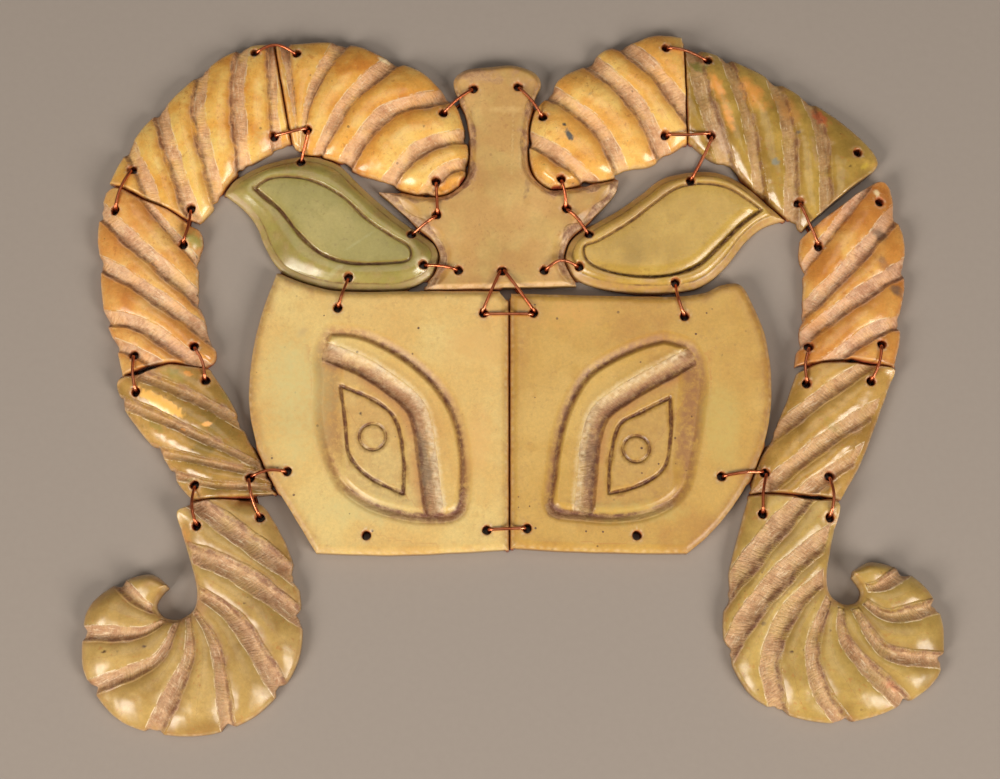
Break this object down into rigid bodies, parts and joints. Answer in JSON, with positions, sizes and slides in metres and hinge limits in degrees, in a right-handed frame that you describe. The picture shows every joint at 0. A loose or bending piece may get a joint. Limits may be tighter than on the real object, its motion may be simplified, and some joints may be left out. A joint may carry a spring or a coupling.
{
  "type": "laced plaque mask",
  "caption": "Ram's-head face cover of carved jade plaques laced edge to edge with copper wire, with an eye on each cheek, leaf-shaped ears and fluted horns that end in curls.",
  "frame": {"origin": "centre of the bounding box, on the flat backs of the plaques", "axes": "+Z out of the carved face, +Y from the muzzle towards the tops of the horns, +X to the viewer's right"},
  "size_m": [0.2459, 0.2071, 0.0086],
  "materials": {
    "ochre_jade": "polished, with matt carved flutes",
    "olive_jade": "polished, with matt carved flutes",
    "green_jade": "polished, with matt carved flutes",
    "yellow_jade": "polished, with matt carved flutes",
    "khaki_jade": "polished, with matt carved flutes",
    "cream_jade": "polished, with matt carved flutes",
    "copper_wire": "bright drawn copper"
  },
  "bodies": {
    "root": {"forehead_plaque": "khaki_jade", "left_ear_plaque": "green_jade", "left_face_plaque": "cream_jade", "left_horn_curl": "olive_jade", "left_horn_plaque_1": "ochre_jade", "left_horn_plaque_2": "ochre_jade", "left_horn_plaque_3": "ochre_jade", "left_horn_plaque_4": "olive_jade", "right_ear_plaque": "yellow_jade", "right_face_plaque": "cream_jade", "right_horn_curl": "olive_jade", "right_horn_plaque_1": "ochre_jade", "right_horn_plaque_2": "olive_jade", "right_horn_plaque_3": "ochre_jade", "right_horn_plaque_4": "olive_jade", "tie_left_ear_face": "copper_wire", "tie_left_ear_forehead_lower": "copper_wire", "tie_left_ear_forehead_upper": "copper_wire", "tie_left_horn_1_2_lower": "copper_wire", "tie_left_horn_1_2_upper": "copper_wire", "tie_left_horn_1_ear": "copper_wire", "tie_left_horn_1_forehead_lower": "copper_wire", "tie_left_horn_1_forehead_upper": "copper_wire", "tie_left_horn_2_3_inner": "copper_wire", "tie_left_horn_2_3_outer": "copper_wire", "tie_left_horn_3_4_inner": "copper_wire", "tie_left_horn_3_4_outer": "copper_wire", "tie_left_horn_4_curl_inner": "copper_wire", "tie_left_horn_4_curl_outer": "copper_wire", "tie_left_horn_4_face": "copper_wire", "tie_muzzle": "copper_wire", "tie_nose_across": "copper_wire", "tie_nose_left": "copper_wire", "tie_nose_right": "copper_wire", "tie_right_ear_face": "copper_wire", "tie_right_ear_forehead_lower": "copper_wire", "tie_right_ear_forehead_upper": "copper_wire", "tie_right_horn_1_2_lower": "copper_wire", "tie_right_horn_1_2_upper": "copper_wire", "tie_right_horn_1_forehead_lower": "copper_wire", "tie_right_horn_1_forehead_upper": "copper_wire", "tie_right_horn_2_3_inner": "copper_wire", "tie_right_horn_2_ear": "copper_wire", "tie_right_horn_3_4_inner": "copper_wire", "tie_right_horn_3_4_outer": "copper_wire", "tie_right_horn_4_curl_inner": "copper_wire", "tie_right_horn_4_curl_outer": "copper_wire", "tie_right_horn_4_face": "copper_wire"}
  },
  "joints": []
}
